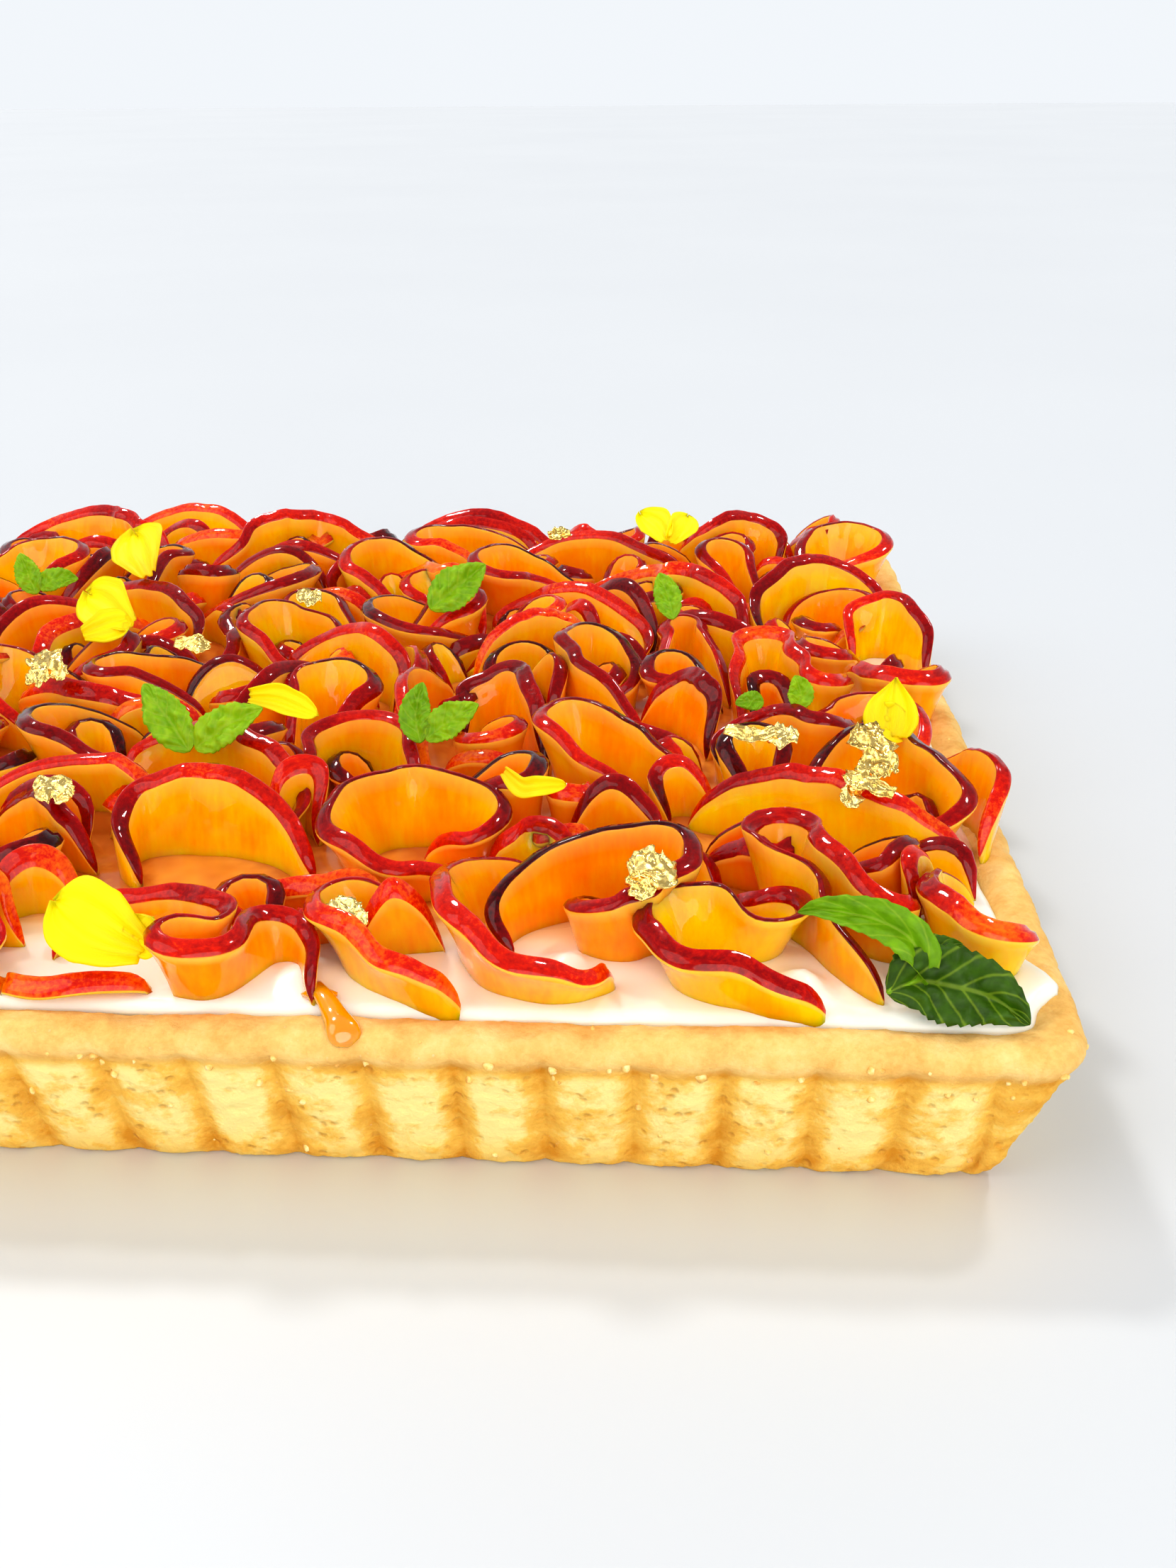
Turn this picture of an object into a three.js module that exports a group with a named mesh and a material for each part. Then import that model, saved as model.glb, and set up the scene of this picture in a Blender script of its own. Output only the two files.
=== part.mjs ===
// A square shortbread tart: a fluted crust baked in a loose-bottomed tin, filled to the rim
// with cream, and covered with thin peach slices that are curled and stood on edge.
// Millimetres, +Z up. The origin is at the middle of the base, on the surface it stands on.

import * as THREE from "three";

// ---------- Driving dimensions ----------

const SIDE = 230; // over the rim, outside to outside
const HALF = SIDE / 2;
const FLUTES_PER_SIDE = 19; // pitches along one side, a half lobe at each corner included
const PITCH = SIDE / FLUTES_PER_SIDE;
const FLUTE_DEPTH = 2.4;
const CRUST_HEIGHT = 27.5;
const CORNER_LOBE = PITCH; // from the last groove to the corner
const CORNER_POWER = 2.7; // 2 is a round corner, more is a squarer one
const MIN_CORNER = 3.5; // smallest corner radius of an inner ring
const FLOOR = 5; // thickness of the crust under the cream
const CREAM_TOP = 27.7;
const GAP = 0.3; // between pieces that touch

const SLICE_THICKNESS = 2.2;
const SLICE_PROPORTION = 0.26; // height of the half-moon slice to its length
const TIP_HEIGHT = 3.5; // the half-moon is low at its two tips
const LAID_STATIONS = 12;
const FREE_STATIONS = 9;
const SLICE_CLEARANCE = 3.6; // between the centrelines of two slices
const SLICE_LIMIT = 109.5; // no free slice reaches further out than this
const SLICE_BASE = CREAM_TOP + GAP;

// ---------- The square outline with its flutes ----------

// A station is a place on the way round: which side, how far along its straight stretch
// (-1 to 1), how far round the corner after it (0 to 90 degrees), and how deep the groove is.
function outlineStations(stepsPerFlute, cornerSteps) {
  const stations = [];
  const straightFlutes = FLUTES_PER_SIDE - 2;
  const steps = straightFlutes * stepsPerFlute;
  for (let side = 0; side < 4; side++) {
    for (let step = 0; step < steps; step++) {
      const groove = step % stepsPerFlute === 0 ? 1 : 0;
      stations.push({ side, along: (2 * step) / steps - 1, bend: 0, groove });
    }
    for (let step = 0; step < cornerSteps; step++) {
      const groove = step === 0 ? 1 : 0;
      stations.push({ side, along: 1, bend: (Math.PI / 2) * (step / cornerSteps), groove });
    }
  }
  return stations;
}

function outlinePoint(station, inset, groove) {
  const reach = HALF - inset;
  const straight = Math.min(HALF - CORNER_LOBE, reach - MIN_CORNER);
  const radius = reach - straight;
  const grooveInset = groove * station.groove;
  const cos = Math.cos(station.bend);
  const sin = Math.sin(station.bend);
  const square = (cos ** CORNER_POWER + sin ** CORNER_POWER) ** (-1 / CORNER_POWER);
  const lobe = (radius - grooveInset) * square;
  const point = new THREE.Vector2(station.along * straight + sin * lobe, -straight - cos * lobe);
  return point.rotateAround(new THREE.Vector2(), (station.side * Math.PI) / 2);
}

// A ring-shaped body: a profile that starts and ends on the axis is turned once round,
// and every ring of it is then laid on the fluted square at its own inset.
function squareTurned(profile, stations) {
  const outline = profile.map(({ inset, z }) => new THREE.Vector2(inset === null ? 0 : HALF - inset, z));
  const geometry = new THREE.LatheGeometry(outline, stations.length);
  const position = geometry.attributes.position;
  for (let index = 0; index < position.count; index++) {
    const station = stations[Math.floor(index / profile.length) % stations.length];
    const { inset, z, groove } = profile[index % profile.length];
    const point = inset === null ? new THREE.Vector2() : outlinePoint(station, inset, groove);
    position.setXYZ(index, point.x, point.y, z);
  }
  geometry.computeVertexNormals();
  return geometry;
}

function crustGeometry() {
  const profile = [
    { inset: null, z: 0, groove: 0 },
    { inset: 10.6, z: 0, groove: 0.5 * FLUTE_DEPTH },
    { inset: 9.3, z: 1.6, groove: 0.9 * FLUTE_DEPTH },
    { inset: 1.3, z: 22.4, groove: FLUTE_DEPTH },
    { inset: 0, z: 24.9, groove: 0.4 * FLUTE_DEPTH },
    { inset: 2.2, z: CRUST_HEIGHT, groove: 0 },
    { inset: 6.4, z: CRUST_HEIGHT, groove: 0 },
    { inset: 7.6, z: CRUST_HEIGHT - 1.2, groove: 0 },
    { inset: 14.5, z: FLOOR, groove: 0 },
    { inset: null, z: FLOOR, groove: 0 },
  ];
  return squareTurned(profile, outlineStations(3, 6));
}

function creamGeometry() {
  const profile = [
    { inset: null, z: FLOOR + GAP, groove: 0 },
    { inset: 14.5 + GAP, z: FLOOR + GAP, groove: 0 },
    { inset: 7.6 + 1.5 * GAP, z: CRUST_HEIGHT - 1.2, groove: 0 },
    { inset: 9.4, z: CREAM_TOP, groove: 0 },
    { inset: null, z: CREAM_TOP, groove: 0 },
  ];
  const stations = outlineStations(1, 6);
  return squareTurned(profile, stations);
}

// ---------- Peach slices ----------

// How a slice bends from one tip to the other: shares of its length, each with the angle
// in degrees that it turns through. Plus turns left, seen from above.
const CURLS = {
  bow: [[1, -75]],
  arch: [[0.22, -75], [0.56, -40], [0.22, -75]],
  cup: [[0.3, -15], [0.4, -150], [0.3, -15]],
  ring: [[1, -260]],
  spiral: [[0.34, -70], [0.32, -130], [0.34, -210]],
  teardrop: [[0.28, -8], [0.44, -198], [0.28, -8]],
  hairpin: [[0.4, -8], [0.14, -160], [0.46, 12]],
  hook: [[0.36, 0], [0.14, -145], [0.5, -15]],
};

// The slices that show most are laid one by one, from the front edge to the back: how high
// they stand over the cream, and the way their skin runs from tip to tip.
const LAID_SLICES = [
  { rise: 12, way: [[-29, -97], [-24, -91], [-12, -92], [-4, -98], [-9, -105], [-2, -105], [3, -97], [8, -99], [11, -107]] },
  { rise: 13, way: [[25, -88], [18, -89], [13, -91], [13, -97], [21, -105], [31, -108]] },
  { rise: 14, way: [[41, -74], [33, -79], [29, -88], [31, -98], [38, -105], [46, -105], [52, -101]] },
  { rise: 15, way: [[37, -96], [35, -90], [40, -84], [50, -81], [59, -82], [60, -89], [53, -94], [47, -92], [48, -87], [53, -87]] },
  { rise: 13, way: [[66, -82], [71, -86], [75, -90], [72, -94], [64, -93], [59, -96], [62, -103], [71, -106], [80, -107]] },
  { rise: 15, way: [[88, -104], [83, -97], [79, -88], [74, -81], [74, -76], [78, -77], [82, -84], [87, -91], [92, -92], [92, -87], [87, -83]] },
  { rise: 13, way: [[104, -78], [99, -82], [97, -90], [101, -97], [106, -97], [108, -91]] },
  { rise: 15, way: [[62, -52], [70, -54], [80, -58], [92, -64], [106, -67]] },
  { rise: 12, way: [[109, -61], [111, -51], [108, -41], [103, -35]] },
  { rise: 14, way: [[88, -54], [84, -49], [87, -42], [94, -39], [100, -46], [104, -55], [100, -60], [94, -57]] },
  { rise: 14, way: [[-23, -76], [-27, -70], [-25, -64], [-13, -63], [-3, -67], [4, -74]] },
  { rise: 14, way: [[28, -76], [17, -78], [9, -72], [10, -63], [18, -58], [28, -60], [29, -66], [20, -66]] },
  { rise: 14, way: [[-31, -41], [-40, -44], [-49, -41], [-51, -35], [-46, -29], [-37, -24]] },
  { rise: 14, way: [[20, -18], [22, -12], [28, -11], [33, -20], [37, -32]] },
  { rise: 15, way: [[64, -42], [53, -35], [43, -31], [39, -36], [44, -43], [53, -46]] },
  { rise: 15, way: [[47, -3], [51, 2], [48, 10], [42, 13], [38, 5], [41, -5], [48, -12], [54, -18]] },
  { rise: 13, way: [[53, -8], [60, -9], [65, -16], [66, -24]] },
  { rise: 14, way: [[69, -36], [68, -31], [76, -29], [85, -33], [91, -29], [91, -22]] },
  { rise: 15, way: [[72, -18], [72, -4], [74, 7], [79, 8], [83, -2], [87, -9], [91, -3], [89, 6]] },
  { rise: 13, way: [[96, 12], [96, 3], [100, -4], [107, -5], [109, 2], [105, 9]] },
  { rise: 14, way: [[96, 24], [98, 31], [105, 33], [110, 25], [111, 17]] },
  { rise: 15, way: [[80, 33], [77, 40], [82, 49], [92, 56], [102, 55], [107, 48]] },
  { rise: 15, way: [[59, 95], [67, 93], [78, 96], [84, 94], [85, 87]] },
  { rise: 16, way: [[-55, 76], [-48, 79], [-41, 86], [-28, 90], [-17, 88], [-10, 84]] },
  { rise: 14, way: [[-11, 1], [-20, 6], [-27, 15], [-24, 24], [-14, 24], [-5, 16]] },
  { rise: 15, way: [[18, 10], [26, 16], [36, 20], [46, 20]] },
  { rise: 12, way: [[-52, -62], [-44, -64], [-36, -69], [-31, -72]] },
  { rise: 10, way: [[-60, 19], [-50, 14], [-38, 15]] },
];

// The other large slices, row by row from the front edge to the back: the curl, where its
// middle lies, the way its first tip points in degrees, its length, and -1 where it bends
// the other way.
const FREE_SLICES = [
  ["spiral", -95, -92, 150, 62, 1],
  ["cup", -70, -92, 60, 60, 1],
  ["arch", -44, -96, 40, 42, 1],

  ["teardrop", -98, -62, 30, 46, 1],
  ["arch", -71, -62, 60, 44, 1],
  ["cup", -97, -34, 70, 52, 1],
  ["ring", -72, -38, 10, 50, 1],
  ["arch", -18, -46, 60, 50, 1],
  ["cup", 6, -42, 100, 48, 1],

  ["arch", -95, -6, 50, 54, 1],
  ["cup", -66, -12, 165, 54, 1],
  ["hook", -38, -6, 180, 50, 1],
  ["teardrop", -6, -18, 100, 50, 1],

  ["ring", -96, 24, 140, 50, 1],
  ["arch", -56, 34, 60, 52, 1],
  ["ring", 4, 32, 250, 50, 1],
  ["arch", 36, 36, 60, 48, 1],
  ["hook", 64, 14, 80, 46, 1],

  ["cup", -92, 56, 60, 60, 1],
  ["hairpin", -64, 56, 70, 50, 1],
  ["ring", -34, 52, 30, 52, 1],
  ["cup", -4, 60, 150, 56, 1],
  ["teardrop", 28, 62, 200, 56, 1],
  ["arch", 58, 50, 60, 52, 1],

  ["arch", -88, 88, 70, 60, 1],
  ["hook", 12, 82, 160, 54, 1],
  ["arch", 42, 78, 75, 50, 1],
  ["spiral", 98, 82, 120, 52, 1],
  ["bow", 10, 101, 30, 46, 1],
  ["bow", -66, 104, 25, 46, 1],
];

// The centreline of a slice that is laid along a way through its own points.
function laidLine(way) {
  const curve = new THREE.SplineCurve(way.map(([x, y]) => new THREE.Vector2(x, y)));
  const points = curve.getSpacedPoints(LAID_STATIONS);
  const angles = points.map((point, station) => curve.getTangentAt(station / LAID_STATIONS).angle());
  return { points, angles };
}

// The centreline of a curl from its bends, laid so that its mean point is at the origin.
function curlLine(curl, heading, length, hand) {
  const points = [];
  const angles = [];
  const fine = 12;
  const steps = FREE_STATIONS * fine;
  const step = length / steps;
  let angle = THREE.MathUtils.degToRad(heading);
  let x = 0;
  let y = 0;
  for (let index = 0; index <= steps; index++) {
    if (index % fine === 0) {
      points.push(new THREE.Vector2(x, y));
      angles.push(angle);
    }
    x += step * Math.cos(angle);
    y += step * Math.sin(angle);
    angle += bendPerLength(curl, (index + 0.5) / steps) * hand * (step / length);
  }
  const mean = new THREE.Vector2();
  points.forEach((point) => mean.addScaledVector(point, 1 / points.length));
  points.forEach((point) => point.sub(mean));
  return { points, angles };
}

function bendPerLength(curl, share) {
  let end = 0;
  for (const [part, degrees] of curl) {
    end += part;
    if (share < end) return THREE.MathUtils.degToRad(degrees) / part;
  }
  return 0;
}

// A free slice that comes too close to another one is pushed off, and the rim holds it in.
function settle(slices) {
  const rounds = 400;
  for (let round = 0; round < rounds; round++) {
    for (const moved of slices.filter((slice) => slice.free)) {
      for (const other of slices) {
        if (other === moved) continue;
        const { overlap, away } = crowding(moved, other);
        if (overlap > 0) moved.place.addScaledVector(away, 0.3 * overlap);
      }
      keepInside(moved);
    }
  }
}

// How much nearer than the clearance two slices are, and the way that parts them.
function crowding(moved, other) {
  const offset = moved.place.clone().sub(other.place);
  let nearest = Infinity;
  const away = new THREE.Vector2();
  for (const one of moved.line.points) {
    for (const two of other.line.points) {
      const across = one.x - two.x + offset.x;
      const along = one.y - two.y + offset.y;
      const distance = Math.hypot(across, along);
      if (distance < nearest) {
        nearest = distance;
        away.set(across, along);
      }
    }
  }
  return { overlap: SLICE_CLEARANCE - nearest, away: away.normalize() };
}

function keepInside(slice) {
  for (const point of slice.line.points) {
    const out = point.clone().add(slice.place);
    slice.place.x -= out.x - THREE.MathUtils.clamp(out.x, -SLICE_LIMIT, SLICE_LIMIT);
    slice.place.y -= out.y - THREE.MathUtils.clamp(out.y, -SLICE_LIMIT, SLICE_LIMIT);
  }
}

// A slice is a long box bent along its centreline: its round skin edge is on top.
function sliceGeometry({ points, angles }, rise) {
  const stations = points.length - 1;
  const geometry = new THREE.BoxGeometry(1, SLICE_THICKNESS, 1, stations, 1, 1);
  const position = geometry.attributes.position;
  for (let index = 0; index < position.count; index++) {
    const share = position.getX(index) + 0.5;
    const station = Math.round(share * stations);
    const side = position.getY(index);
    const top = position.getZ(index) > 0;
    const height = TIP_HEIGHT + (rise - TIP_HEIGHT) * Math.sin(Math.PI * share) ** 0.7;
    const x = points[station].x - side * Math.sin(angles[station]);
    const y = points[station].y + side * Math.cos(angles[station]);
    position.setXYZ(index, x, y, top ? height : 0);
  }
  geometry.computeVertexNormals();
  return geometry;
}

// ---------- The tart ----------

const tart = new THREE.Group();

function addPiece(name, geometry, color, roughness) {
  const mesh = new THREE.Mesh(geometry, new THREE.MeshStandardMaterial({ color, roughness, metalness: 0 }));
  mesh.name = name;
  tart.add(mesh);
  return mesh;
}

addPiece("crust", crustGeometry(), "#e3b878", 0.8);
addPiece("cream", creamGeometry(), "#fbf5e6", 0.35);

const laid = LAID_SLICES.map(({ rise, way }) => {
  return { line: laidLine(way), rise, place: new THREE.Vector2(), free: false };
});
const free = FREE_SLICES.map(([kind, x, y, heading, length, hand]) => {
  const line = curlLine(CURLS[kind], heading, length, hand);
  return { line, rise: SLICE_PROPORTION * length, place: new THREE.Vector2(x, y), free: true };
});
const slices = [...laid, ...free];
settle(slices);
slices.forEach((slice, index) => {
  const name = `peach_slice_${String(index + 1).padStart(2, "0")}`;
  const mesh = addPiece(name, sliceGeometry(slice.line, slice.rise), "#f08a1c", 0.3);
  mesh.position.set(slice.place.x, slice.place.y, SLICE_BASE);
});

export default tart;
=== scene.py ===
import math
import random

import bpy
import numpy as np
from mathutils import Matrix, Vector, noise
from mathutils.kdtree import KDTree


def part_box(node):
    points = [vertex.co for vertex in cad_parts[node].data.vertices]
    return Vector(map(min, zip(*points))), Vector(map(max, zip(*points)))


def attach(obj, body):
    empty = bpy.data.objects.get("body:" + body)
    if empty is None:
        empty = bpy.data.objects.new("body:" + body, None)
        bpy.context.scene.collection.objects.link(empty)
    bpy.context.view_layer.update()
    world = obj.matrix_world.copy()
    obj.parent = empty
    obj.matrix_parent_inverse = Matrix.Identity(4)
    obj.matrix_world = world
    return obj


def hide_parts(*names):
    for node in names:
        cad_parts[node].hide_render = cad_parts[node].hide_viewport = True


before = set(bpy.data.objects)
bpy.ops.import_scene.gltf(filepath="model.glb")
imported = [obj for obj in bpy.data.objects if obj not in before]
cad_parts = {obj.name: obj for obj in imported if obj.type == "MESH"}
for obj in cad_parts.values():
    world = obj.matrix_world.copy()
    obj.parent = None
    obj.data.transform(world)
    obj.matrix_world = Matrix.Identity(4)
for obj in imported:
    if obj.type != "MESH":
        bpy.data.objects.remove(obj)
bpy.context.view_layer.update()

# ---------------------------------------------------------------------------
# Camera, floor and light. The tart stands on a pale table top in a bright
# room, with broad soft light from the front and the left, and two smaller
# windows behind it and on its right, which the glaze mirrors.
# ---------------------------------------------------------------------------

MM = 0.001

camera_data = bpy.data.cameras.new("camera")
camera_data.lens = 35.64
camera_data.sensor_width = 36.0
camera_data.clip_start = 0.01
camera = bpy.data.objects.new("camera", camera_data)
bpy.context.scene.collection.objects.link(camera)
camera_place = Vector((58.5, -283.3, 143.4)) * MM
tilt_down, turn_left, roll = (math.radians(angle) for angle in (24.9, 3.25, 0.43))
camera.matrix_world = (
    Matrix.Translation(camera_place)
    @ Matrix.Rotation(turn_left, 4, "Z")
    @ Matrix.Rotation(math.pi / 2 - tilt_down, 4, "X")
    @ Matrix.Rotation(-roll, 4, "Z")
)
bpy.context.scene.camera = camera


class Shade:
    """An output socket of a material, used in sums like the number that it carries."""

    def __init__(self, tree, socket=None):
        self.tree = tree
        self.socket = socket

    def node(self, kind, settings=None, inputs=None, output=0):
        """Adds a node. Its settings go first, then the values or links of its sockets."""
        node = self.tree.nodes.new("ShaderNode" + kind)
        for name, value in (settings or {}).items():
            if name == "stops":
                while len(node.color_ramp.elements) < len(value):
                    node.color_ramp.elements.new(0.5)
                for element, (place, colour) in zip(node.color_ramp.elements, value):
                    element.position = place
                    element.color = (*colour, 1.0)
            else:
                setattr(node, name, value)
        for name, value in (inputs or {}).items():
            if isinstance(value, Shade):
                self.tree.links.new(value.socket, node.inputs[name])
            else:
                node.inputs[name].default_value = value
        return Shade(self.tree, node.outputs[output])

    def maths(self, operation, *values, clamp=False):
        settings = {"operation": operation, "use_clamp": clamp}
        return self.node("Math", settings, dict(enumerate(values)))

    def __add__(self, other):
        return self.maths("ADD", self, other)

    def __radd__(self, other):
        return self.maths("ADD", other, self)

    def __sub__(self, other):
        return self.maths("SUBTRACT", self, other)

    def __rsub__(self, other):
        return self.maths("SUBTRACT", other, self)

    def __mul__(self, other):
        return self.maths("MULTIPLY", self, other)

    def __rmul__(self, other):
        return self.maths("MULTIPLY", other, self)

    def clamped(self):
        return self.maths("ADD", self, 0.0, clamp=True)

    def between(self, low, high):
        """0 below low, 1 above high, and a smooth step from one to the other."""
        settings = {"interpolation_type": "SMOOTHSTEP"}
        return self.node("MapRange", settings, {"Value": self, "From Min": low, "From Max": high})

    def mix(self, first, second):
        """The first colour where this is 0, the second where it is 1."""
        colours = {"A": first, "B": second}
        inputs = {0: self}
        for slot, name in ((6, "A"), (7, "B")):
            colour = colours[name]
            inputs[slot] = colour if isinstance(colour, Shade) else (*colour, 1.0)
        return self.node("Mix", {"data_type": "RGBA"}, inputs, output=2)

    def ramp(self, *stops):
        return self.node("ValToRGB", {"stops": stops}, {"Fac": self})

    def attribute(self, name, output="Fac"):
        return self.node("Attribute", {"attribute_name": name}, output=output)

    def grain(self, place, scale, detail=3.0, roughness=0.55):
        inputs = {"Vector": place, "Scale": scale, "Detail": detail, "Roughness": roughness}
        return self.node("TexNoise", None, inputs)


def new_material(name, **values):
    """A material with its plain values set on the shader, and the start of its node sums."""
    material = bpy.data.materials.new(name)
    material.use_nodes = True
    tree = material.node_tree
    shader = tree.nodes["Principled BSDF"]
    for socket, value in values.items():
        shader.inputs[socket.replace("_", " ")].default_value = value
    return material, Shade(tree), shader


def feed(shader, **links):
    for socket, value in links.items():
        value.tree.links.new(value.socket, shader.inputs[socket.replace("_", " ")])


floor_material, floor_shade, floor_shader = new_material("pale_table", Roughness=0.45)
floor_place = floor_shade.node("TexCoord", output="Object")
floor_cloud = floor_shade.grain(floor_place, 2.5)
feed(floor_shader, Base_Color=floor_cloud.mix((0.63, 0.65, 0.675), (0.68, 0.70, 0.72)))
floor_size = 12.0
bpy.ops.mesh.primitive_plane_add(size=floor_size)
floor = bpy.context.object
floor.name = "table_top"
floor.data.materials.append(floor_material)


def add_window(name, toward, strength, angle, colour):
    """Light that falls evenly from one direction, as from a far window of the angle given."""
    light_data = bpy.data.lights.new(name, "SUN")
    light_data.energy = strength
    light_data.angle = math.radians(angle)
    light_data.color = colour
    light = bpy.data.objects.new(name, light_data)
    bpy.context.scene.collection.objects.link(light)
    light.rotation_euler = (-Vector(toward)).to_track_quat("-Z", "Y").to_euler()


add_window("window_back", (-0.5, 0.7, 1.05), 0.8, 7, (1.0, 0.99, 0.97))
add_window("window_right", (0.55, 0.45, 1.1), 0.55, 6, (1.0, 0.99, 0.98))
add_window("window_left", (-0.7, -0.3, 0.9), 1.1, 50, (1.0, 0.99, 0.98))
add_window("room_front", (0.3, -0.9, 0.5), 1.7, 50, (1.0, 0.99, 0.97))

# The room is bright at eye level, where its walls are, and dimmer overhead.
room = bpy.data.worlds.new("bright_room")
room.use_nodes = True
room_shader = room.node_tree.nodes["Background"]
room_shade = Shade(room.node_tree)
overhead = room_shade.node("SeparateXYZ", None, {"Vector": room_shade.node("TexCoord")}, output="Z")
feed(room_shader, Color=overhead.between(0.1, 0.6).mix((0.88, 0.91, 0.945), (0.42, 0.43, 0.445)))
bpy.context.scene.world = room
bpy.context.scene.view_settings.view_transform = "Standard"
bpy.context.scene.view_settings.gamma = 0.88
bpy.context.scene.view_settings.exposure = 0.04

# ---------------------------------------------------------------------------
# Crust. Shortbread dough pressed into a fluted tin, so that the wall is a row
# of rounded lobes with grooves between them, under a plain rounded rim that rose a
# little over the edge of the tin. The grooves, the corners and the band under the
# rim are painted browner, as painted shade. It is dry, pale and full of small pores.
# ---------------------------------------------------------------------------

crust_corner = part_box("crust")[1] / MM
half_side = crust_corner.x
crust_height = crust_corner.z
flutes_per_side = 19
pitch = 2 * half_side / flutes_per_side
groove_depth = 2.5
corner_power = 2.7
smallest_corner = 3.5
steps_per_flute = 16
corner_steps = 22
ring_spacing = 0.62
wall_top = 24.0
rim_foot = 22.0

# Rings from the middle of the base, up the wall, over the rim and down to the floor inside:
# how far in from the outside, how high, and how much of the groove's depth it has.
crust_rings = [
    (10.9, 0.0, 0.45), (10.0, 0.5, 0.7), (9.2, 1.7, 0.95), (7.4, 6.5, 1.0), (4.9, 12.8, 1.0),
    (2.4, 19.2, 1.0), (1.3, 22.0, 0.95), (0.5, 23.4, 0.7), (0.0, 24.6, 0.45), (0.35, 26.0, 0.28),
    (1.7, 27.2, 0.15), (3.6, 27.6, 0.05), (5.5, 27.3, 0.0), (6.9, 26.4, 0.0), (7.8, 24.6, 0.0),
    (9.5, 19.0, 0.0), (14.5, 5.0, 0.0),
]


def smooth_rings(rings, spacing):
    """The rings joined by a smooth curve, with new rings at about the spacing given."""
    knots = np.array(rings)
    length = np.concatenate([[0.0], np.cumsum(np.linalg.norm(np.diff(knots[:, :2], axis=0), axis=1))])
    steps = np.linspace(0.0, length[-1], int(length[-1] / spacing))
    slopes = np.gradient(knots, length, axis=0)
    places = []
    for step in steps:
        left = min(np.searchsorted(length, step, side="right") - 1, len(length) - 2)
        width = length[left + 1] - length[left]
        t = (step - length[left]) / width
        places.append(
            (2 * t**3 - 3 * t**2 + 1) * knots[left]
            + (t**3 - 2 * t**2 + t) * width * slopes[left]
            + (3 * t**2 - 2 * t**3) * knots[left + 1]
            + (t**3 - t**2) * width * slopes[left + 1]
        )
    return np.array(places)


def outline_stations(flute_steps, turn_steps):
    """Round the square: side, place along its straight stretch, turn of the corner, groove."""
    stations = []
    steps = (flutes_per_side - 2) * flute_steps
    for side in range(4):
        for step in range(steps):
            across = (step % flute_steps) / flute_steps
            stations.append((side, 2 * step / steps - 1, 0.0, min(across, 1 - across)))
        for step in range(turn_steps):
            across = step / turn_steps
            stations.append((side, 1.0, math.pi / 2 * across, min(across, 1 - across)))
    return np.array(stations)


def lay_square(stations, inset, groove):
    """The points of one ring, with its lobes, on the square at an inset."""
    side, along, bend, across = stations.T
    reach = half_side - inset
    straight = np.minimum(half_side - pitch, reach - smallest_corner)
    lobe = np.sqrt(1 - (1 - 2 * np.sqrt(across**2 + 0.0012)).clip(0, 1) ** 2.3)
    radius = reach - straight - groove * groove_depth * (1 - lobe)
    squareness = (np.cos(bend) ** corner_power + np.sin(bend) ** corner_power) ** (-1 / corner_power)
    x = along * straight + np.sin(bend) * radius * squareness
    y = -straight - np.cos(bend) * radius * squareness
    turn = side * math.pi / 2
    return x * np.cos(turn) - y * np.sin(turn), x * np.sin(turn) + y * np.cos(turn)


def ring_faces(ring_count, station_count):
    """Quads between rings, and a fan over the last ring and under the first."""
    faces = []
    for ring in range(ring_count - 1):
        for station in range(station_count):
            after = (station + 1) % station_count
            low, high = ring * station_count, (ring + 1) * station_count
            faces.append((low + station, low + after, high + after, high + station))
    first, last = ring_count * station_count, ring_count * station_count + 1
    top = (ring_count - 1) * station_count
    for station in range(station_count):
        after = (station + 1) % station_count
        faces.append((first, after, station))
        faces.append((last, top + station, top + after))
    return faces


def new_piece(name, points, faces, material, attributes=None):
    """A smooth mesh from points in millimetres, riding on the tart, with its attributes."""
    mesh = bpy.data.meshes.new(name)
    mesh.from_pydata([tuple(point) for point in np.asarray(points) * MM], [], faces)
    mesh.polygons.foreach_set("use_smooth", [True] * len(mesh.polygons))
    mesh.materials.append(material)
    for label, values in (attributes or {}).items():
        values = np.asarray(values, float)
        kind, field = ("FLOAT_VECTOR", "vector") if values.ndim == 2 else ("FLOAT", "value")
        mesh.attributes.new(label, kind, "POINT").data.foreach_set(field, values.ravel())
    piece = bpy.data.objects.new(name, mesh)
    bpy.context.scene.collection.objects.link(piece)
    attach(piece, "root")
    return piece


def rough(point, size, seed=0.0):
    """Smooth noise from about -1 to 1, with hills of the size given."""
    x, y, z = point
    return noise.noise(Vector((x / size + seed, y / size - seed, z / size + 2 * seed)))


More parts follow.
